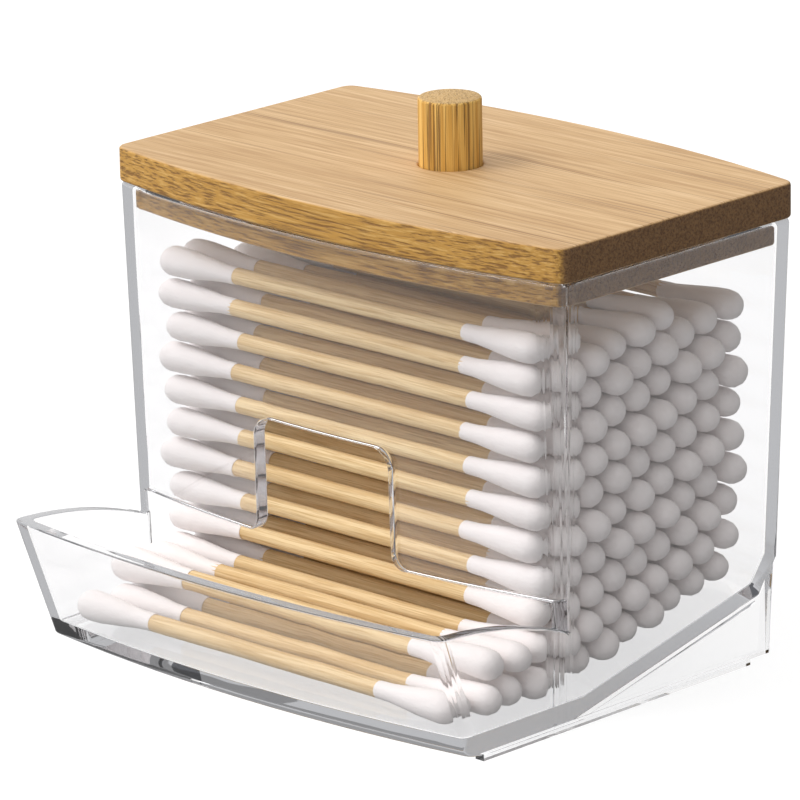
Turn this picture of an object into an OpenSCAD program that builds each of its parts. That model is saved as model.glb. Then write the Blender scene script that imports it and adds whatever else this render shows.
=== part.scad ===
// Cotton swab holder: a clear moulded hopper with a pull-out tray, a bamboo lid and its swabs.
// Millimetres, +X to the right, +Y to the back, +Z up. The origin is on the table, at the
// centre of the holder's box.

/* [Hopper] */
// Width of the hopper at its rim
body_w = 88; // [80:0.5:110]
// Depth of the hopper at its corners, at the rim
body_d = 47.8; // [44:0.1:70]
// Height of the rim above the table
rim_h = 65.3; // [55:0.1:100]
// How far the front and back walls bow out
bow = 4.8; // [2:0.1:8]
// Thickness of the moulded walls
wall = 2.2; // [1.6:0.1:2.8]
// Radius of the upright outer corners
corner_r = 1.8; // [1.2:0.1:4]
// Radius of the upright inner corners
inner_r = 1; // [0.6:0.1:3]
// How far each side wall draws in from rim to base
side_draft = 1.6; // [0.5:0.1:3]
// How far the front wall draws in from rim to base
front_draft = 1.1; // [0.3:0.1:2]
// How far the back wall draws in from rim to base
back_draft = 2.1; // [0.3:0.1:3]

/* [Front opening] */
// Height of the front wall's lower edge above the table
gap_top = 18.8; // [16:0.1:26]
// Width of the finger notch in the front wall
notch_w = 26.4; // [18:0.1:40]
// Height of the notch above the front wall's lower edge
notch_h = 17.5; // [8:0.1:24]
// Radius of the notch's upper corners
notch_r = 3; // [1:0.1:6]
// Radius where the notch's sides run out into the front wall's lower edge
notch_lip_r = 2.5; // [1:0.1:5]

/* [Tray and ramp] */
// How far the tray's foot stands in front of the hopper's corners
tray_foot_reach = 17.3; // [12:0.1:24]
// How far the tray's lip stands in front of the hopper's corners
tray_lip_reach = 24.1; // [18:0.1:32]
// Height of the tray's lip above the table
lip_h = 19.7; // [14:0.1:24]
// How far the tray's front bows out
tray_bow = 3.3; // [1.5:0.1:6]
// Radius of the curved top edge of the tray's sides
side_arc_r = 69; // [50:1:120]
// Thickness of the tray's floor
floor_t = 2.75; // [1.6:0.05:4]
// Slope of the ramp under the swabs, in degrees
ramp_angle = 12.9; // [8:0.1:18]
// Distance from the hopper's front corners back to the foot of the ramp
ramp_start = 6.2; // [3:0.1:12]
// Thickness of the ramp
ramp_t = 2.2; // [1.6:0.1:3]
// Distance from the hopper's back corners forward to the back of the side walls' lower parts
panel_inset = 1.2; // [0.5:0.1:3]
// Height where the back wall turns in towards the ramp
turn_h = 15.2; // [13:0.1:20]
// How far the turned-in part comes forward for each millimetre it drops
turn_slope = 0.66; // [0.3:0.02:1]

/* [Feet] */
// Height of the foot strips under the side walls
foot_h = 1; // [0.6:0.1:3]
// Distance from the front of the side walls to the front of the strips
foot_front_inset = 2.3; // [1:0.1:8]
// Distance from the side walls' faces to the strips' faces
foot_side_inset = 0.3; // [0.1:0.1:0.6]
// Distance from the back of the side walls to the back of the strips
foot_back_inset = 4; // [1:0.1:8]

/* [Lid] */
// Thickness of the lid board
lid_t = 5.2; // [4:0.1:10]
// How far the board stands out past the hopper
lid_overhang = 0.2; // [0:0.1:2]
// Depth of the plug that drops inside the hopper
plug_t = 3.9; // [2:0.1:6]
// Clearance around the plug
plug_fit = 0.3; // [0.2:0.05:0.8]
// Diameter of the knob
knob_d = 9.2; // [7:0.1:16]
// Height of the knob above the board
knob_h = 9.9; // [7:0.1:16]
// Depth of the blind hole that the knob is glued into
knob_seat = 4; // [2:0.1:6]
// Width of the knob's broken edge
knob_edge = 0.5; // [0.2:0.1:1]

/* [Swabs] */
// How much longer the hopper's rim is than a swab
swab_room = 13; // [11:0.5:18]
// Diameter of the stick
stick_d = 2.5; // [1.8:0.1:3]
// Diameter of a cotton bud
bud_d = 4.75; // [4:0.05:5.5]
// Length of a cotton bud
bud_l = 15; // [10:0.5:18]
// Depth of cotton over the end of the stick
bud_cap = 1.6; // [1:0.1:3]
// Clearance between swabs, and between swabs and the moulding
swab_gap = 0.08; // [0.05:0.01:0.2]
// Space left between the pile and the lid's plug
pile_space = 4.5; // [4.3:0.1:20]
// How far the bottom swab of each column has rolled forward
pile_lean = 3.2; // [0:0.1:3.2]
// Largest shift of a swab along its own length
stray = 0.8; // [0:0.1:2]
// Number of swabs lying on the tray's floor
tray_lower = 3; // [1:1:3]
// Number of swabs lying on those
tray_upper = 2; // [0:1:2]

/* [Hidden] */
$fn = 48;
arc_steps = 14; // straight stretches in each bowed wall's outline
corner_steps = 4; // straight stretches in each rounded corner
over = 1; // how far a cutting shape runs past the face that it cuts
step = 0.03; // how far a wall that carries on from another stands back from it, so that no faces coincide

// Hopper outline, as circles and planes that draw in towards the base
bow_r = (pow(body_w / 2, 2) + pow(bow, 2)) / (2 * bow);
front_y = (tray_lip_reach + tray_bow - body_d - bow - lid_overhang) / 2;
back_y = front_y + body_d;
function drawn(z) = 1 - z / rim_h;
function half_w(z) = body_w / 2 - side_draft * drawn(z);
function chord_drop(z) = sqrt(pow(bow_r, 2) - pow(half_w(z), 2));
function front_centre(z) = front_y + front_draft * drawn(z) + chord_drop(z);
function back_centre(z) = back_y - back_draft * drawn(z) - chord_drop(z);

// Tray outline
tray_bow_r = (pow(half_w(foot_h), 2) + pow(tray_bow, 2)) / (2 * tray_bow);
tray_lean = (tray_lip_reach - tray_foot_reach) / (lip_h - foot_h);
lip_y = front_y - tray_lip_reach;
function tray_y(z) = front_y - tray_foot_reach - tray_lean * (z - foot_h);
function tray_centre(z) = tray_y(z) + sqrt(pow(tray_bow_r, 2) - pow(half_w(z), 2));
floor_top = foot_h + floor_t;

// Ramp, side panels and feet
ramp_y = front_y + ramp_start;
ramp_foot_y = ramp_y - floor_top / tan(ramp_angle);
under_foot_y = ramp_foot_y + ramp_t / sin(ramp_angle);
panel_back_y = back_y - back_draft - panel_inset;
inner_turn_h = turn_h + wall * (sqrt(1 + pow(turn_slope, 2)) - 1) / turn_slope;
strip_front_y = tray_y(foot_h) + foot_front_inset;
strip_back_y = panel_back_y - foot_back_inset;

// Lid and knob
board_top = rim_h + lid_t;
plug_bottom = rim_h - plug_t;
knob_y = front_y + body_d / 2;

// Swab pile: upright columns, each standing on the floor or the ramp
swab_l = body_w - swab_room;
bud_r = bud_d / 2;
stick_r = stick_d / 2;
pitch = bud_d + swab_gap;
bud_reach = swab_l / 2 - bud_r;
function chord_in(z, x) = half_w(z) > x ? sqrt(pow(bow_r, 2) - pow(x, 2)) - chord_drop(z) : 0;
front_face = front_y + front_draft * drawn(gap_top) + wall - chord_in(gap_top, bud_reach);
back_face = back_y - back_draft * drawn(gap_top) - wall + chord_in(gap_top, bud_reach);
pile_front = front_face + bud_r + swab_gap;
pile_back = back_face - bud_r - swab_gap;
columns = floor((pile_back - pile_front) / pitch) + 1;
lean_rows = 3;
function lean(row) = row < lean_rows ? -pile_lean * pow(1 - row / lean_rows, 1.5) : 0;
function climb(row) =
    row == 0 ? 0 : climb(row - 1) + sqrt(pow(pitch, 2) - pow(lean(row) - lean(row - 1), 2));
function column_y(column) = pile_front + (column - 1) * pitch;
function seat_z(y) =
    floor_top + max(bud_r + swab_gap, (y - ramp_y) * tan(ramp_angle) + (bud_r + swab_gap) / cos(ramp_angle));
pile_top = plug_bottom - pile_space - bud_r;
function column_z(column) = seat_z(column_y(column) + lean(0));
function rows(column) = floor((pile_top - column_z(column) - climb(lean_rows)) / pitch) + lean_rows + 1;
function swab_place(column, row) = [
    stray * sin(137 * row + 71 * column * column),
    column_y(column) + lean(row),
    column_z(column) + climb(row),
];

// Swabs that have rolled out into the tray carry the same columns on to the front
tray_places = concat(
    [for (i = [1:tray_lower]) swab_place(1 - i, 0)],
    [for (i = [1:1:tray_upper]) swab_place(1 - i, 1)]
);

function stick_name(column) = str("swab_sticks_", column);
function buds_name(column) = str("swab_buds_", column);

// One level of the hopper's outline: bowed front and back, straight sides, round corners.
// inset draws it in, and back_shift brings the back wall forward.
function hopper_ring(z, inset, r, back_shift = 0) =
    let (
        w = half_w(z) - inset - r,
        big = bow_r - inset,
        swing = asin(w / (big - r)),
        reach = sqrt(pow(big - r, 2) - pow(w, 2)),
        front = front_centre(z),
        back = back_centre(z) - back_shift,
        front_corner = front - reach,
        back_corner = back + reach
    )
    concat(
        [for (i = [0:arc_steps]) let (a = swing * (2 * i / arc_steps - 1))
            [big * sin(a), front - big * cos(a), z]],
        [for (i = [1:corner_steps]) let (a = -90 + swing + (90 - swing) * i / corner_steps)
            [w + r * cos(a), front_corner + r * sin(a), z]],
        [for (i = [0:corner_steps - 1]) let (a = (90 - swing) * i / corner_steps)
            [w + r * cos(a), back_corner + r * sin(a), z]],
        [for (i = [0:arc_steps]) let (a = swing * (1 - 2 * i / arc_steps))
            [big * sin(a), back + big * cos(a), z]],
        [for (i = [1:corner_steps]) let (a = 90 + swing + (90 - swing) * i / corner_steps)
            [-w + r * cos(a), back_corner + r * sin(a), z]],
        [for (i = [0:corner_steps - 1]) let (a = 180 + (90 - swing) * i / corner_steps)
            [-w + r * cos(a), front_corner + r * sin(a), z]]
    );

// One level of the tray's outline, which runs back between the hopper's side walls to y_back
function tray_ring(z, inset, r, y_back) =
    let (
        w = half_w(z) - step - inset - r,
        big = tray_bow_r - inset,
        swing = asin(w / (big - r)),
        front = tray_centre(z),
        corner = front - sqrt(pow(big - r, 2) - pow(w, 2))
    )
    concat(
        [for (i = [0:arc_steps]) let (a = swing * (2 * i / arc_steps - 1))
            [big * sin(a), front - big * cos(a), z]],
        [for (i = [1:corner_steps]) let (a = -90 + swing + (90 - swing) * i / corner_steps)
            [w + r * cos(a), corner + r * sin(a), z]],
        [[w + r, y_back, z], [-w - r, y_back, z]],
        [for (i = [0:corner_steps - 1]) let (a = 180 + (90 - swing) * i / corner_steps)
            [-w + r * cos(a), corner + r * sin(a), z]]
    );

// A solid between two levels that have as many points each
module loft(low, high) {
    n = len(low);
    polyhedron(
        concat(low, high),
        concat(
            [[for (i = [0:n - 1]) i]],
            [[for (i = [0:n - 1]) 2 * n - 1 - i]],
            [for (i = [0:n - 1]) let (j = (i + 1) % n) [i, n + i, n + j]],
            [for (i = [0:n - 1]) let (j = (i + 1) % n) [i, n + j, j]]
        )
    );
}

// A side view, drawn in Y and Z, carried across the whole width
module across(points) {
    translate([-body_w, 0, 0])
        rotate([90, 0, 90])
            linear_extrude(2 * body_w)
                polygon(points);
}

// Everything below a slope parallel to the ramp that leaves the table at y_foot
module below_slope(y_foot) {
    across([
        [y_foot, 0],
        [y_foot + 2 * body_d, 2 * body_d * tan(ramp_angle)],
        [y_foot + 2 * body_d, -over],
        [y_foot, -over],
    ]);
}

// The hopper's outline between the floor's underside and height top, with its turned-in back
module hopper_block(inset, r, bottom, turn, top) {
    loft(hopper_ring(turn, inset, r), hopper_ring(top, inset, r));
    loft(hopper_ring(bottom, inset, r, turn_slope * (turn - bottom)), hopper_ring(turn, inset, r));
}

// Everything under the tray's curved top edge
module under_arc() {
    translate([-body_w, lip_y, lip_h - side_arc_r])
        rotate([0, 90, 0])
            cylinder(r = side_arc_r, h = 2 * body_w, $fn = 180);
}

module tray_block(inset, r, bottom, top, y_back) {
    loft(tray_ring(bottom, inset, r, y_back), tray_ring(top, inset, r, y_back));
}

// The side walls' lower parts, which stand on the feet and run back under the turned-in wall
module side_panels() {
    top = inner_turn_h + wall;
    for (side = [-1, 1])
        translate([0, panel_back_y, 0])
            rotate([90, 0, 0])
                linear_extrude(panel_back_y - front_y - corner_r - front_draft)
                    polygon([
                        [side * (half_w(foot_h) - step), foot_h],
                        [side * (half_w(top) - step), top],
                        [side * (half_w(top) - wall + step), top],
                        [side * (half_w(foot_h) - wall + step), foot_h],
                    ]);
}

module foot_strips() {
    width = wall - 2 * foot_side_inset;
    for (side = [-1, 1])
        translate([side * (half_w(foot_h) - wall / 2) - width / 2, strip_front_y, 0])
            cube([width, strip_back_y - strip_front_y, foot_h + floor_t / 2]);
}

// The moulding's outside, hollow under the ramp between the side panels
module body_outside() {
    difference() {
        union() {
            hopper_block(0, corner_r, foot_h, turn_h, rim_h);
            intersection() {
                tray_block(0, corner_r, foot_h, lip_h + over, ramp_y);
                under_arc();
            }
        }
        below_slope(under_foot_y);
    }
    side_panels();
    foot_strips();
}

// The space that the swabs lie in: hopper, gap under the front wall, and tray
module body_inside() {
    difference() {
        union() {
            hopper_block(wall, inner_r, floor_top, inner_turn_h, rim_h + over);
            difference() {
                tray_block(wall, inner_r, floor_top, lip_h + 2 * over, ramp_y);
                translate([-body_w, front_y - bow - over, gap_top])
                    cube([2 * body_w, body_d, lip_h]);
            }
        }
        below_slope(ramp_foot_y);
    }
}

// Finger notch, open at the front wall's lower edge, with rounded corners
module notch_cut() {
    half = notch_w / 2;
    translate([0, front_y + wall + over, 0])
        rotate([90, 0, 0])
            linear_extrude(bow + wall + 3 * over) {
                translate([-half, gap_top - over])
                    square([notch_w, notch_h + over - notch_r]);
                translate([notch_r - half, gap_top - over])
                    square([notch_w - 2 * notch_r, notch_h + over]);
                for (side = [-1, 1]) {
                    translate([side * (half - notch_r), gap_top + notch_h - notch_r])
                        circle(notch_r);
                    difference() {
                        translate([side * half - notch_lip_r, gap_top - over])
                            square([2 * notch_lip_r, notch_lip_r + over]);
                        translate([side * (half + notch_lip_r), gap_top + notch_lip_r])
                            circle(notch_lip_r);
                    }
                }
            }
}

module holder_body() {
    color([0.88, 0.92, 0.94, 0.35])
        difference() {
            body_outside();
            body_inside();
            notch_cut();
        }
}

function flat(ring) = [for (p = ring) [p[0], p[1]]];

module lid_board() {
    color("burlywood")
        difference() {
            union() {
                translate([0, 0, rim_h])
                    linear_extrude(lid_t)
                        polygon(flat(hopper_ring(rim_h, -lid_overhang, corner_r + lid_overhang)));
                translate([0, 0, plug_bottom])
                    linear_extrude(plug_t)
                        polygon(flat(hopper_ring(rim_h, wall + plug_fit, inner_r)));
            }
            translate([0, knob_y, board_top - knob_seat])
                cylinder(d = knob_d, h = knob_seat + over);
        }
}

module lid_knob() {
    top = board_top + knob_h;
    color("peru")
        translate([0, knob_y, 0])
            rotate_extrude()
                polygon([
                    [0, board_top - knob_seat],
                    [knob_d / 2, board_top - knob_seat],
                    [knob_d / 2, top - knob_edge],
                    [knob_d / 2 - knob_edge, top],
                    [0, top],
                ]);
}

// A bud's outline from its blunt tip to where the cotton runs out on the stick
bud_nose = bud_r * 1.1;
nose_steps = 4;
taper_steps = 4;
function bud_outline() = concat(
    [for (i = [0:nose_steps]) let (a = 90 * i / nose_steps)
        [bud_r * sin(a), bud_nose * (1 - cos(a))]],
    [for (i = [1:taper_steps]) let (t = i / taper_steps)
        [stick_r + 0.15 + (bud_r - stick_r - 0.15) * (1 + cos(180 * t)) / 2, bud_nose + (bud_l - bud_nose) * t]],
    [[stick_r, bud_l], [stick_r, bud_cap], [0, bud_cap]]
);

// Two buds, tips outward, on a swab that lies along X about the given place
module buds_at(place) {
    for (side = [-1, 1])
        translate([place[0] + side * swab_l / 2, place[1], place[2]])
            rotate([0, -side * 90, 0])
                rotate_extrude()
                    polygon(bud_outline());
}

module stick_at(place) {
    translate([place[0] - swab_l / 2 + bud_cap, place[1], place[2]])
        rotate([0, 90, 0])
            cylinder(d = stick_d, h = swab_l - 2 * bud_cap);
}

module swab_sticks(column) {
    color("wheat")
        for (row = [0:rows(column) - 1])
            stick_at(swab_place(column, row));
}

module swab_buds(column) {
    color("white")
        for (row = [0:rows(column) - 1])
            buds_at(swab_place(column, row));
}

module tray_sticks() {
    color("wheat")
        for (place = tray_places) stick_at(place);
}

module tray_buds() {
    color("white")
        for (place = tray_places) buds_at(place);
}

holder_body();
lid_board();
lid_knob();
tray_sticks();
tray_buds();
for (c = [1:columns]) {
    swab_sticks(c);
    swab_buds(c);
}
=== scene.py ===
"""Cotton swab holder in Blender: clear moulding, bamboo lid, knob, sticks and cotton buds."""

import math
import random

import bpy
from mathutils import Matrix, Vector


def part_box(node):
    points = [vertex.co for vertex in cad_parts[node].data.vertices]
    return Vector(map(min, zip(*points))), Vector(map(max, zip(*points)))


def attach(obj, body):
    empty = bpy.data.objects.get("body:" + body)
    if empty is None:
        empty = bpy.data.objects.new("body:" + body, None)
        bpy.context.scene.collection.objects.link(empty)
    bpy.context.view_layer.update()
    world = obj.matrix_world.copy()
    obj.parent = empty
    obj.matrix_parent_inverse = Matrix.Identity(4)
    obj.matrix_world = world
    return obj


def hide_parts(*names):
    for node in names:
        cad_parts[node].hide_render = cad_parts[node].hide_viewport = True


MM = 0.001
CREASE = math.radians(48)
FULL_TURN = 2 * math.pi

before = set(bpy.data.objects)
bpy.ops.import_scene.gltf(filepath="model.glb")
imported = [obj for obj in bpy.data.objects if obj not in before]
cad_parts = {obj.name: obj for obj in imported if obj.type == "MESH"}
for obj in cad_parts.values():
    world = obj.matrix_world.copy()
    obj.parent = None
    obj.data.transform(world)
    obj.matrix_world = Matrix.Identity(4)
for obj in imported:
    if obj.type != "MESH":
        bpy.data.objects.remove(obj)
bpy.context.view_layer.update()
chance = random.Random(7)


# Selecting and shaping

def alone(piece):
    """Makes a piece the only selected object, and the active one."""
    bpy.ops.object.select_all(action="DESELECT")
    piece.select_set(True)
    bpy.context.view_layer.objects.active = piece


def edit(piece):
    """Enters edit mode with the whole piece selected."""
    alone(piece)
    bpy.ops.object.mode_set(mode="EDIT")
    bpy.ops.mesh.select_all(action="SELECT")


def leave_edit():
    bpy.ops.object.mode_set(mode="OBJECT")


def merged_copy(node, name, apart=0.002 * MM):
    """A copy of a CAD node with its loose triangles joined and flat stretches made whole faces.
    Corners closer than apart become one."""
    piece = bpy.data.objects.new(name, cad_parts[node].data.copy())
    bpy.context.scene.collection.objects.link(piece)
    edit(piece)
    bpy.ops.mesh.remove_doubles(threshold=apart)
    bpy.ops.mesh.dissolve_limited(angle_limit=math.radians(0.6))
    leave_edit()
    return piece


def round_edges(piece, width, segments, angle):
    """Rounds every edge at which two faces turn by more than an angle in degrees."""
    bevel = piece.modifiers.new("edges", "BEVEL")
    bevel.width, bevel.segments, bevel.profile = width, segments, 0.5
    bevel.limit_method, bevel.angle_limit = "ANGLE", math.radians(angle)
    bevel.use_clamp_overlap = False
    alone(piece)
    bpy.ops.object.modifier_apply(modifier=bevel.name)


def smooth(piece, angle):
    alone(piece)
    bpy.ops.object.shade_smooth_by_angle(angle=math.radians(angle))


def flatten_shading(piece):
    """Lets the large faces set the shading, so that rounded edges don't bend it. Edges that turn
    by more than CREASE stay sharp."""
    edit(piece)
    bpy.ops.mesh.select_mode(type="EDGE")
    bpy.ops.mesh.faces_shade_smooth()
    bpy.ops.mesh.select_all(action="DESELECT")
    bpy.ops.mesh.edges_select_sharp(sharpness=CREASE)
    bpy.ops.mesh.mark_sharp()
    leave_edit()
    weighted = piece.modifiers.new("flats", "WEIGHTED_NORMAL")
    weighted.mode, weighted.weight, weighted.keep_sharp = "FACE_AREA", 100, True
    bpy.ops.object.modifier_apply(modifier=weighted.name)


def paint(piece, finish):
    piece.data.materials.clear()
    piece.data.materials.append(finish)


# Materials

class Signal:
    """A shader socket that Python's operators work on: an expression adds its Math nodes."""

    def __init__(self, nodes, socket):
        self.nodes, self.socket = nodes, socket

    def maths(self, operation, *values):
        return self.nodes.add("ShaderNodeMath", {"operation": operation}, dict(enumerate(values)))

    def __add__(self, other):
        return self.maths("ADD", self, other)

    def __sub__(self, other):
        return self.maths("SUBTRACT", self, other)

    def __rsub__(self, other):
        return self.maths("SUBTRACT", other, self)

    def __mul__(self, other):
        return self.maths("MULTIPLY", self, other)

    def __truediv__(self, other):
        return self.maths("DIVIDE", self, other)

    def __abs__(self):
        return self.maths("ABSOLUTE", self)

    __radd__ = __add__
    __rmul__ = __mul__

    def floor(self):
        return self.maths("FLOOR", self)

    def rise(self, low, high):
        """0 below low, 1 above high, and a soft step between them."""
        return self.nodes.add(
            "ShaderNodeMapRange",
            {"interpolation_type": "SMOOTHSTEP"},
            {"Value": self, "From Min": low, "From Max": high},
        )

    def output(self, name):
        """Another output of the same node."""
        return Signal(self.nodes, self.socket.node.outputs[name])


class Nodes:
    """A node tree to which nodes are added one by one."""

    def __init__(self, tree):
        self.tree = tree

    def add(self, kind, settings, sockets, output=0):
        """One node: its settings first, then its sockets' values or links."""
        node = self.tree.nodes.new(kind)
        for key, value in settings.items():
            setattr(node, key, value)
        for key, value in sockets.items():
            self.put(node.inputs[key], value)
        return Signal(self, node.outputs[output])

    def put(self, socket, value):
        if isinstance(value, Signal):
            self.tree.links.new(value.socket, socket)
        else:
            socket.default_value = value


class Finish(Nodes):
    """A material that ends in one Principled shader."""

    def __init__(self, name, **settings):
        self.material = bpy.data.materials.new(name)
        self.material.use_nodes = True
        super().__init__(self.material.node_tree)
        self.shader = self.tree.nodes["Principled BSDF"]
        self.surface = self.tree.nodes["Material Output"].inputs["Surface"]
        self.drive(**settings)

    def drive(self, **sockets):
        for socket, value in sockets.items():
            self.put(self.shader.inputs[socket.replace("_", " ")], value)

    def place(self):
        return self.add("ShaderNodeTexCoord", {}, {}, "Object")

    def stretched(self, along):
        """Object coordinates in millimetres, each axis times its own factor."""
        return self.add(
            "ShaderNodeVectorMath",
            {"operation": "MULTIPLY"},
            {0: self.place(), 1: tuple(1000 * k for k in along)},
        )

    def grain(self, along, detail=3, roughness=0.55, distortion=0.0):
        return self.add(
            "ShaderNodeTexNoise",
            {},
            {
                "Vector": self.stretched(along),
                "Scale": 1,
                "Detail": detail,
                "Roughness": roughness,
                "Distortion": distortion,
            },
        )

    def blend(self, share, one, other):
        """A colour between two, by share."""
        return self.add(
            "ShaderNodeMix",
            {"data_type": "RGBA"},
            {0: share, 6: one if isinstance(one, Signal) else (*one, 1),
             7: other if isinstance(other, Signal) else (*other, 1)},
            2,
        )

    def relief(self, height, distance, strength=1):
        return self.add(
            "ShaderNodeBump", {}, {"Height": height, "Distance": distance, "Strength": strength}
        )


def clear_plastic():
    """Clear moulded plastic, a little wavy at the two front corners. Shadow rays pass straight
    through it, and light that has been round inside a wall leaves it as a soft grey."""
    finish = Finish(
        "clear_plastic", Base_Color=(0.985, 0.985, 0.99, 1), Roughness=0.01, IOR=1.49,
        Transmission_Weight=1,
    )
    waves = finish.grain((0.05, 0.05, 0.07), detail=1)
    flow = finish.grain((0.9, 0.9, 0.035), detail=2)
    across = finish.add("ShaderNodeSeparateXYZ", {}, {"Vector": finish.place()}, "X")
    depth = across.output("Y")
    corner = abs(across).rise(0.0385, 0.041) * depth.rise(-0.016, -0.0135)
    corner = corner * (1 - depth.rise(-0.011, -0.0085))
    finish.drive(Normal=finish.relief(waves * 0.5 + flow * corner, 0.4 * MM, 0.5))
    straight = finish.add("ShaderNodeBsdfTransparent", {}, {"Color": (0.97, 0.975, 0.98, 1)})
    guided = finish.add("ShaderNodeBsdfTransparent", {}, {"Color": (0.44, 0.445, 0.46, 1)})
    rays = finish.add("ShaderNodeLightPath", {}, {}, "Is Shadow Ray")
    lit = rays + rays.output("Is Diffuse Ray")
    trapped = rays.output("Glossy Depth").rise(1, 2)
    clear = Signal(finish, finish.shader.outputs[0])
    clear = finish.add("ShaderNodeMixShader", {}, {0: trapped, 1: clear, 2: guided})
    finish.put(finish.surface, finish.add("ShaderNodeMixShader", {}, {0: lit, 1: clear, 2: straight}))
    return finish.material


def bamboo_board():
    """Laminated bamboo: strips and streaks along X on top, short dark fibres where the edges cut
    them at a slant, and dotted ends. The top's pinker tone is partly painted sheen, and the
    ends' dark brown is partly painted shade."""
    finish = Finish("bamboo_board", Roughness=0.55)
    split = finish.add("ShaderNodeSeparateXYZ", {}, {"Vector": finish.stretched((1, 1, 1))}, "Y")
    strip = (split / 6.4 + 0.35).floor()
    tone = finish.add("ShaderNodeTexWhiteNoise", {"noise_dimensions": "1D"}, {"W": strip}, "Value")
    clouds = finish.grain((0.03, 0.16, 0.3), detail=2)
    streaks = finish.grain((0.04, 1.3, 1.3), detail=5, roughness=0.62)
    fibres = finish.grain((0.08, 4.6, 4.6), detail=2)
    lines = finish.grain((0.018, 2.6, 2.6), detail=1).rise(0.56, 0.66)
    groups = finish.grain((0.01, 0.2, 0.2), detail=1).rise(0.5, 0.62)
    # The top's paler, pinker tones are partly the board's own and partly painted sheen from the light
    # above.
    top = finish.blend(tone * 0.35 + clouds * 0.65, (0.545, 0.34, 0.153), (0.66, 0.44, 0.22))
    top = finish.blend((1 - streaks.rise(0.3, 0.5)) * 0.5, top, (0.8, 0.575, 0.335))
    top = finish.blend(streaks.rise(0.48, 0.66) * 0.6, top, (0.44, 0.25, 0.1))
    top = finish.blend(fibres.rise(0.48, 0.66) * 0.55, top, (0.4, 0.22, 0.085))
    top = finish.blend(lines * groups * 0.75, top, (0.27, 0.14, 0.05))
    dashes = finish.grain((0.11, 2.4, 3.2), detail=3, roughness=0.6)
    dark = dashes.rise(0.5, 0.64)
    edge = finish.blend(clouds, (0.48, 0.24, 0.042), (0.66, 0.36, 0.08))
    edge = finish.blend((1 - dashes.rise(0.34, 0.46)) * 0.6, edge, (0.8, 0.51, 0.17))
    edge = finish.blend(dark * 0.75, edge, (0.21, 0.09, 0.02))
    dots = finish.grain((0.4, 2.6, 2.6), detail=3, roughness=0.7)
    # The ends' dots are end grain; their dark brown is partly that and partly painted shade for an
    # end that turns away from the light.
    end = finish.blend(dots.rise(0.38, 0.66), (0.29, 0.155, 0.06), (0.15, 0.07, 0.024))
    # Choosing the colour by facing paints sheen onto the top and shade onto the ends.
    facing = finish.add("ShaderNodeNewGeometry", {}, {}, "Normal")
    turned = finish.add("ShaderNodeSeparateXYZ", {}, {"Vector": facing}, "X")
    at_end_grain_and_shade = abs(turned).rise(0.6, 0.95)
    at_side_not_sheened_top = 1 - abs(turned.output("Z")).rise(0.35, 0.85)
    finish.drive(
        Base_Color=finish.blend(at_end_grain_and_shade, finish.blend(at_side_not_sheened_top, top, edge), end),
        Roughness=0.5 + fibres * 0.2,
        Normal=finish.relief(
            fibres * 0.3 + streaks * 0.4 - dark * at_side_not_sheened_top * 1.2 - dots * at_end_grain_and_shade * 1.5,
            0.09 * MM, 0.8,
        ),
    )
    return finish.material


def bamboo_dowel():
    """Bamboo turned to a dowel: upright bundles with dark grooves between some of them."""
    finish = Finish("bamboo_dowel", Roughness=0.55)
    bundles = finish.grain((1.3, 1.3, 0.02), detail=3, roughness=0.6)
    fibres = finish.grain((5, 5, 0.1), detail=2)
    grooves = finish.grain((2.1, 2.1, 0.03), detail=1).rise(0.55, 0.63)
    body = finish.blend(bundles.rise(0.35, 0.62), (0.95, 0.62, 0.18), (0.7, 0.38, 0.07))
    body = finish.blend(fibres.rise(0.5, 0.7) * 0.5, body, (0.36, 0.17, 0.03))
    body = finish.blend(grooves * 0.7, body, (0.17, 0.07, 0.015))
    facing = finish.add("ShaderNodeNewGeometry", {}, {}, "Normal")
    turned = finish.add("ShaderNodeSeparateXYZ", {}, {"Vector": facing}, "Z")
    cut = finish.blend(fibres.rise(0.42, 0.62), (0.66, 0.44, 0.18), (0.44, 0.25, 0.08))
    finish.drive(
        Base_Color=finish.blend(turned.rise(0.6, 0.95), body, cut),
        Roughness=0.5 + fibres * 0.2,
        Normal=finish.relief(bundles + fibres * -0.5 - grooves * 1.4, 0.16 * MM, 0.9),
    )
    return finish.material


def bamboo_stick():
    """Pale bamboo with fine lengthwise fibres, each stick in its own tone."""
    finish = Finish("bamboo_stick", Roughness=0.6)
    own = finish.add("ShaderNodeNewGeometry", {}, {}, "Random Per Island")
    streaks = finish.grain((0.05, 1.6, 1.6), detail=4, roughness=0.6)
    fibres = finish.grain((0.14, 6, 6), detail=2)
    body = finish.blend(own, (0.8, 0.58, 0.31), (0.92, 0.71, 0.41))
    body = finish.blend(streaks.rise(0.42, 0.62) * 0.6, body, (0.64, 0.41, 0.17))
    body = finish.blend(fibres.rise(0.48, 0.68) * 0.5, body, (0.5, 0.29, 0.1))
    finish.drive(
        Base_Color=body,
        Roughness=0.55 + fibres * 0.2,
        Normal=finish.relief(fibres + streaks, 0.05 * MM, 0.7),
    )
    return finish.material


def cotton():
    """Wound cotton: soft lumps, fine fluff and a faint warm cast."""
    finish = Finish(
        "cotton", Roughness=1, Sheen_Weight=0.3, Sheen_Roughness=0.6, Specular_IOR_Level=0.1,
    )
    fluff = finish.grain((1.6, 3.2, 3.2), detail=4, roughness=0.65, distortion=0.6)
    lumps = finish.grain((0.35, 0.7, 0.7), detail=2)
    body = finish.blend(lumps, (0.9, 0.83, 0.815), (0.95, 0.9, 0.885))
    finish.drive(Base_Color=body, Normal=finish.relief(fluff + lumps * 2, 0.09 * MM, 0.75))
    return finish.material


# Swabs

STICK_R = 1.25 * MM
BUD_R, BUD_L, BUD_NOSE = 2.375 * MM, 15 * MM, 2.6 * MM
BUD_PAST_STICK = 1.6 * MM
SIDES = 14
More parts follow.
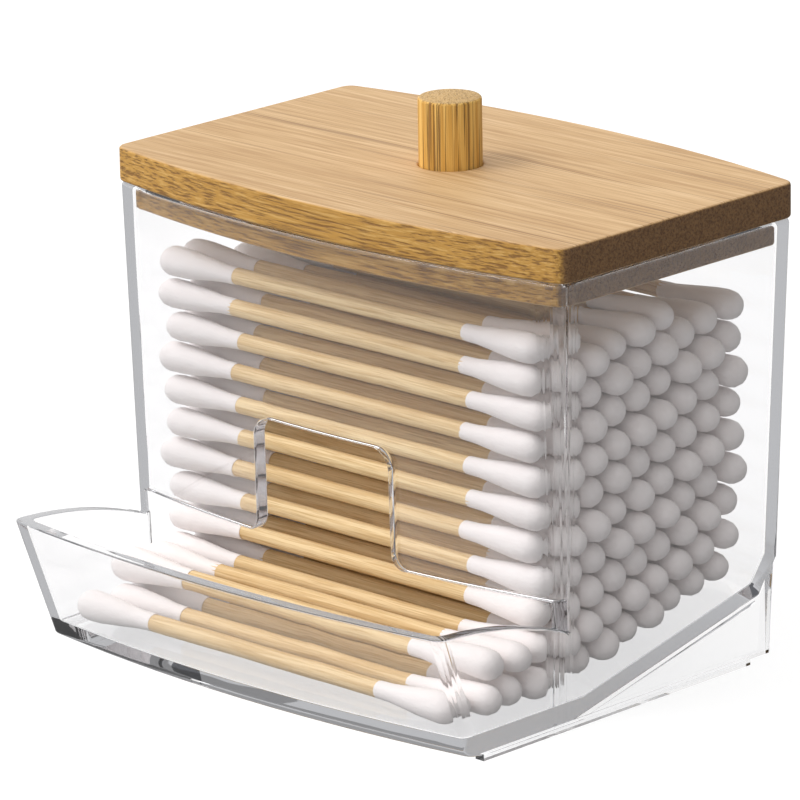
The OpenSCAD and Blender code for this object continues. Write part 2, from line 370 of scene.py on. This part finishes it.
# How long each kind of bud's nose is, and how slim the bud is, as shares of the plain one's.
BUD_KINDS = ((1, 1), (0.94, 0.97), (1.06, 0.95), (0.9, 0.985), (1.02, 0.93))


def stick_places(node):
    """Middle of every stick in a CAD node, as (x, y, z), and the sticks' length."""
    piece = merged_copy(node, "sticks_to_count")
    edit(piece)
    bpy.ops.mesh.separate(type="LOOSE")
    leave_edit()
    places, length = [], 0
    for stick in list(bpy.context.selected_objects):
        points = [v.co for v in stick.data.vertices]
        low = Vector([min(p[i] for p in points) for i in range(3)])
        high = Vector([max(p[i] for p in points) for i in range(3)])
        places.append((low + high) / 2)
        length = high.x - low.x
        bpy.data.objects.remove(stick)
    return places, length


def model_stick(length):
    """A stick along X about the origin, with eased ends."""
    bpy.ops.mesh.primitive_cylinder_add(
        vertices=SIDES, radius=STICK_R, depth=length, rotation=(0, math.pi / 2, 0)
    )
    stick = bpy.context.active_object
    bpy.ops.object.transform_apply(location=False, rotation=True, scale=False)
    round_edges(stick, 0.12 * MM, 1, 60)
    smooth(stick, 40)
    return stick


def bud_radius(along, nose):
    """Radius of a bud at a distance from its tip: a blunt nose, then a long taper."""
    if along < nose:
        return BUD_R * math.sin(math.acos(1 - along / nose))
    rest = (along - nose) / (BUD_L - nose)
    end_r = STICK_R + 0.12 * MM
    return end_r + (BUD_R - end_r) * (1 + math.cos(math.pi * rest)) / 2


def model_bud(kind):
    """A bud whose tip is at the origin and whose stick leaves towards -X. Each kind is a little
    slimmer or fuller, and lumpy in its own way."""
    nose_share, slim = BUD_KINDS[kind]
    nose = BUD_NOSE * nose_share
    rings = [nose * (1 - math.cos(math.radians(a))) for a in (24, 46, 68, 90)]
    rings += [nose + (BUD_L - nose) * t / 5 for t in range(1, 6)]
    bpy.ops.mesh.primitive_circle_add(
        vertices=SIDES, radius=bud_radius(rings[0], nose), fill_type="NGON",
        location=(0, 0, -rings[0]),
    )
    bud = bpy.context.active_object
    bpy.ops.object.transform_apply(location=True, rotation=False, scale=False)
    edit(bud)
    bpy.ops.mesh.poke(offset=rings[0] * 0.85)
    bpy.ops.mesh.select_all(action="DESELECT")
    bpy.ops.mesh.select_mode(type="EDGE")
    bpy.ops.mesh.select_non_manifold()
    for before, here in zip(rings, rings[1:]):
        bpy.ops.mesh.extrude_region_move(TRANSFORM_OT_translate={"value": (0, 0, before - here)})
        ratio = bud_radius(here, nose) / bud_radius(before, nose)
        bpy.ops.transform.resize(value=(ratio, ratio, 1), center_override=(0, 0, -here))
    bpy.ops.mesh.edge_face_add()
    bpy.ops.mesh.select_all(action="SELECT")
    bpy.ops.transform.resize(value=(slim, slim, 1), center_override=(0, 0, 0))
    bpy.ops.mesh.normals_make_consistent(inside=False)
    leave_edit()
    bud.rotation_euler = (0, math.pi / 2, 0)
    bpy.ops.object.transform_apply(location=False, rotation=True, scale=False)
    lumps = bpy.data.textures.new("bud_lumps", "CLOUDS")
    lumps.noise_scale, lumps.noise_depth = 4.5 * MM, 1
    uneven = bud.modifiers.new("uneven", "DISPLACE")
    uneven.texture, uneven.strength, uneven.mid_level = lumps, 0.22 * MM, 0.62
    apart = Vector((0, 31 * kind, 17 * kind)) * MM
    bud.data.transform(Matrix.Translation(apart))
    bpy.ops.object.modifier_apply(modifier=uneven.name)
    bud.data.transform(Matrix.Translation(-apart))
    smooth(bud, 60)
    return bud


def lay(pattern, place, turn=0.0, mirrored=False):
    """A copy of a pattern piece at a place, turned about X, or with its other end first."""
    copy = bpy.data.objects.new(pattern.name, pattern.data.copy())
    bpy.context.scene.collection.objects.link(copy)
    shift = Matrix.Translation(place) @ Matrix.Rotation(turn, 4, "X")
    if mirrored:
        shift = shift @ Matrix.Rotation(math.pi, 4, "Z")
    copy.data.transform(shift)
    return copy


def joined(pieces, name):
    """All the pieces as one mesh, under one name."""
    bpy.ops.object.select_all(action="DESELECT")
    for piece in pieces:
        piece.select_set(True)
    bpy.context.view_layer.objects.active = pieces[0]
    bpy.ops.object.join()
    pieces[0].name = pieces[0].data.name = name
    return pieces[0]


def dress_swabs(wood, fluff):
    """Lays a turned stick and two buds of any kind where each CAD stick lies."""
    patterns = [model_bud(kind) for kind in range(len(BUD_KINDS))]
    pattern_stick = None
    for node in sorted(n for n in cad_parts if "sticks" in n):
        places, length = stick_places(node)
        if pattern_stick is None:
            pattern_stick = model_stick(length)
        reach = length / 2 + BUD_PAST_STICK
        sticks, buds = [], []
        for place in sorted(places, key=lambda p: (p.z, p.y)):
            sticks.append(lay(pattern_stick, place, chance.uniform(0, FULL_TURN)))
            for side in (-1, 1):
                tip = place + Vector((side * reach, 0, 0))
                bud, turn = chance.choice(patterns), chance.uniform(0, FULL_TURN)
                buds.append(lay(bud, tip, turn, side < 0))
        sticks = joined(sticks, node.replace("swab_", "bamboo_"))
        paint(sticks, wood)
        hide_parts(node)
        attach(sticks, "holder")
        bud_node = node.replace("sticks", "buds")
        buds = joined(buds, bud_node.replace("swab_", "cotton_"))
        paint(buds, fluff)
        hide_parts(bud_node)
        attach(buds, "holder")
    for pattern in patterns + [pattern_stick]:
        bpy.data.objects.remove(pattern)


# Moulding and lid

RIM_ROUND, WALL_ROUND, BOARD_ROUND = 0.8 * MM, 0.35 * MM, 0.45 * MM
FOLD = math.radians(50)
FOOT_H = 1 * MM
BELOW_RIM = 1.5 * MM
TRAY_CORNER_Y = -28 * MM
# The tray's and the side panels' faces stand closer than this to the hopper's in the CAD.
SEAM = 0.045 * MM


def choose_edges(piece, wanted):
    """Enters edit mode with only those edges selected that turn by more than FOLD, and whose two
    ends pass the test."""
    alone(piece)
    bpy.ops.object.mode_set(mode="EDIT")
    bpy.ops.mesh.select_mode(type="EDGE")
    bpy.ops.mesh.select_all(action="DESELECT")
    bpy.ops.mesh.edges_select_sharp(sharpness=FOLD)
    leave_edit()
    corners = piece.data.vertices
    chosen = [e.select and wanted(*(corners[i].co for i in e.vertices)) for e in piece.data.edges]
    for vertex in corners:
        vertex.select = False
    for edge, keep in zip(piece.data.edges, chosen):
        edge.select = keep
        for end in edge.vertices:
            corners[end].select = corners[end].select or keep
    for face in piece.data.polygons:
        face.select = False
    bpy.ops.object.mode_set(mode="EDIT")


def round_chosen(piece, wanted, width, segments, slide):
    """Rounds the edges whose two ends pass the test. Slide lets corners run along edges."""
    choose_edges(piece, wanted)
    bpy.ops.mesh.bevel(offset=width, segments=segments, affect="EDGES", loop_slide=slide)
    leave_edit()


def dress_moulding(finish):
    """The clear moulding with a well rounded rim and finely rounded walls, notch and tray. Its
    foot strips and the lower edges of its side panels stay sharp."""
    shell = merged_copy("holder_body", "clear_moulding", SEAM)
    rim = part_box("holder_body")[1][2]

    def on_rim(one, other):
        return min(one.z, other.z) > rim - 0.01 * MM

    def on_wall(one, other):
        low, high = sorted((one.z, other.z))
        under_tray = max(one.y, other.y) < TRAY_CORNER_Y and low > FOOT_H - 0.1 * MM
        return low < rim - BELOW_RIM and (high > FOOT_H + 0.4 * MM or under_tray)

    round_chosen(shell, on_rim, RIM_ROUND, 4, slide=True)
    round_chosen(shell, on_wall, WALL_ROUND, 2, slide=False)
    flatten_shading(shell)
    paint(shell, finish)
    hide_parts("holder_body")
    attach(shell, "holder")


def dress_lid(board_finish, knob_finish):
    """The laminated board, and the turned knob in its middle."""
    board = merged_copy("lid_board", "bamboo_lid")
    round_edges(board, BOARD_ROUND, 3, 40)
    flatten_shading(board)
    paint(board, board_finish)
    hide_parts("lid_board")
    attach(board, "lid")
    low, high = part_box("lid_knob")
    middle = (Vector(low) + Vector(high)) / 2
    bpy.ops.mesh.primitive_cylinder_add(
        vertices=96, radius=(high[0] - low[0]) / 2, depth=high[2] - low[2], location=middle
    )
    knob = bpy.context.active_object
    knob.name = "bamboo_knob"
    bpy.ops.object.transform_apply(location=True, rotation=False, scale=False)
    round_edges(knob, BOARD_ROUND, 3, 60)
    smooth(knob, 40)
    paint(knob, knob_finish)
    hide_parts("lid_knob")
    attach(knob, "lid")


# Stage

def place_camera():
    """The photograph's viewing angle, distance and framing."""
    azimuth, elevation, roll = (math.radians(a) for a in (44.4, 16.44, 1.0))
    target, distance, lens = Vector((-2.26, 2.3, 36.72)) * MM, 1.024, 320.77
    right = Vector((math.cos(azimuth), math.sin(azimuth), 0))
    back = Vector((
        math.sin(azimuth) * math.cos(elevation),
        -math.cos(azimuth) * math.cos(elevation),
        math.sin(elevation),
    ))
    up = back.cross(right)
    across = right * math.cos(roll) - up * math.sin(roll)
    upright = up * math.cos(roll) + right * math.sin(roll)
    data = bpy.data.cameras.new("camera")
    data.sensor_width, data.lens, data.clip_start = 36, lens, 0.05
    camera = bpy.data.objects.new("camera", data)
    turned = Matrix((across, upright, back)).transposed().to_4x4()
    camera.matrix_world = Matrix.Translation(target + back * distance) @ turned
    bpy.context.scene.collection.objects.link(camera)
    bpy.context.scene.camera = camera


def lay_floor():
    """White ground that glows a little, and less so in what the plastic mirrors of it."""
    bpy.ops.mesh.primitive_plane_add(size=12, location=(0, 0, -0.05 * MM))
    floor = bpy.context.active_object
    floor.name = "floor"
    ground = Finish(
        "white_ground", Base_Color=(0.2, 0.2, 0.2, 1), Roughness=0.9, Emission_Strength=0.84
    )
    rays = ground.add("ShaderNodeLightPath", {}, {}, "Is Reflection Ray")
    dimmed = rays * (1 - rays.output("Glossy Depth").rise(1, 2))
    ground.drive(Emission_Color=ground.blend(dimmed, (1, 1, 1), (0.095, 0.095, 0.095)))
    ground.material.cycles.emission_sampling = "NONE"
    floor.data.materials.append(ground.material)


def light_studio():
    """A soft sky that is brightest from the front left, and one broad lamp on the same side."""
    world = bpy.data.worlds.new("studio")
    bpy.context.scene.world = world
    world.use_nodes = True
    sky = Nodes(world.node_tree)
    toward = sky.add("ShaderNodeTexCoord", {}, {}, "Generated")
    front_left = (-0.72, -0.45, 0.53)
    side = sky.add(
        "ShaderNodeVectorMath", {"operation": "DOT_PRODUCT"}, {0: toward, 1: front_left}, "Value"
    )
    glow = sky.add(
        "ShaderNodeMapRange",
        {"interpolation_type": "SMOOTHSTEP"},
        {"Value": side, "From Min": -0.55, "From Max": 0.85, "To Min": 0.24, "To Max": 1.36},
    )
    background = sky.tree.nodes["Background"]
    sky.put(background.inputs["Strength"], glow)
    sky.put(background.inputs["Color"], (1, 0.99, 0.985, 1))
    sun = bpy.data.lights.new("key", "SUN")
    sun.energy, sun.angle = 1.05, math.radians(28)
    lamp = bpy.data.objects.new("key", sun)
    lamp.rotation_euler = Vector((-0.46, -0.56, 0.9)).to_track_quat("Z", "Y").to_euler()
    bpy.context.scene.collection.objects.link(lamp)
    bpy.context.scene.view_settings.view_transform = "Standard"


place_camera()
dress_moulding(clear_plastic())
dress_lid(bamboo_board(), bamboo_dowel())
dress_swabs(bamboo_stick(), cotton())
lay_floor()
light_studio()
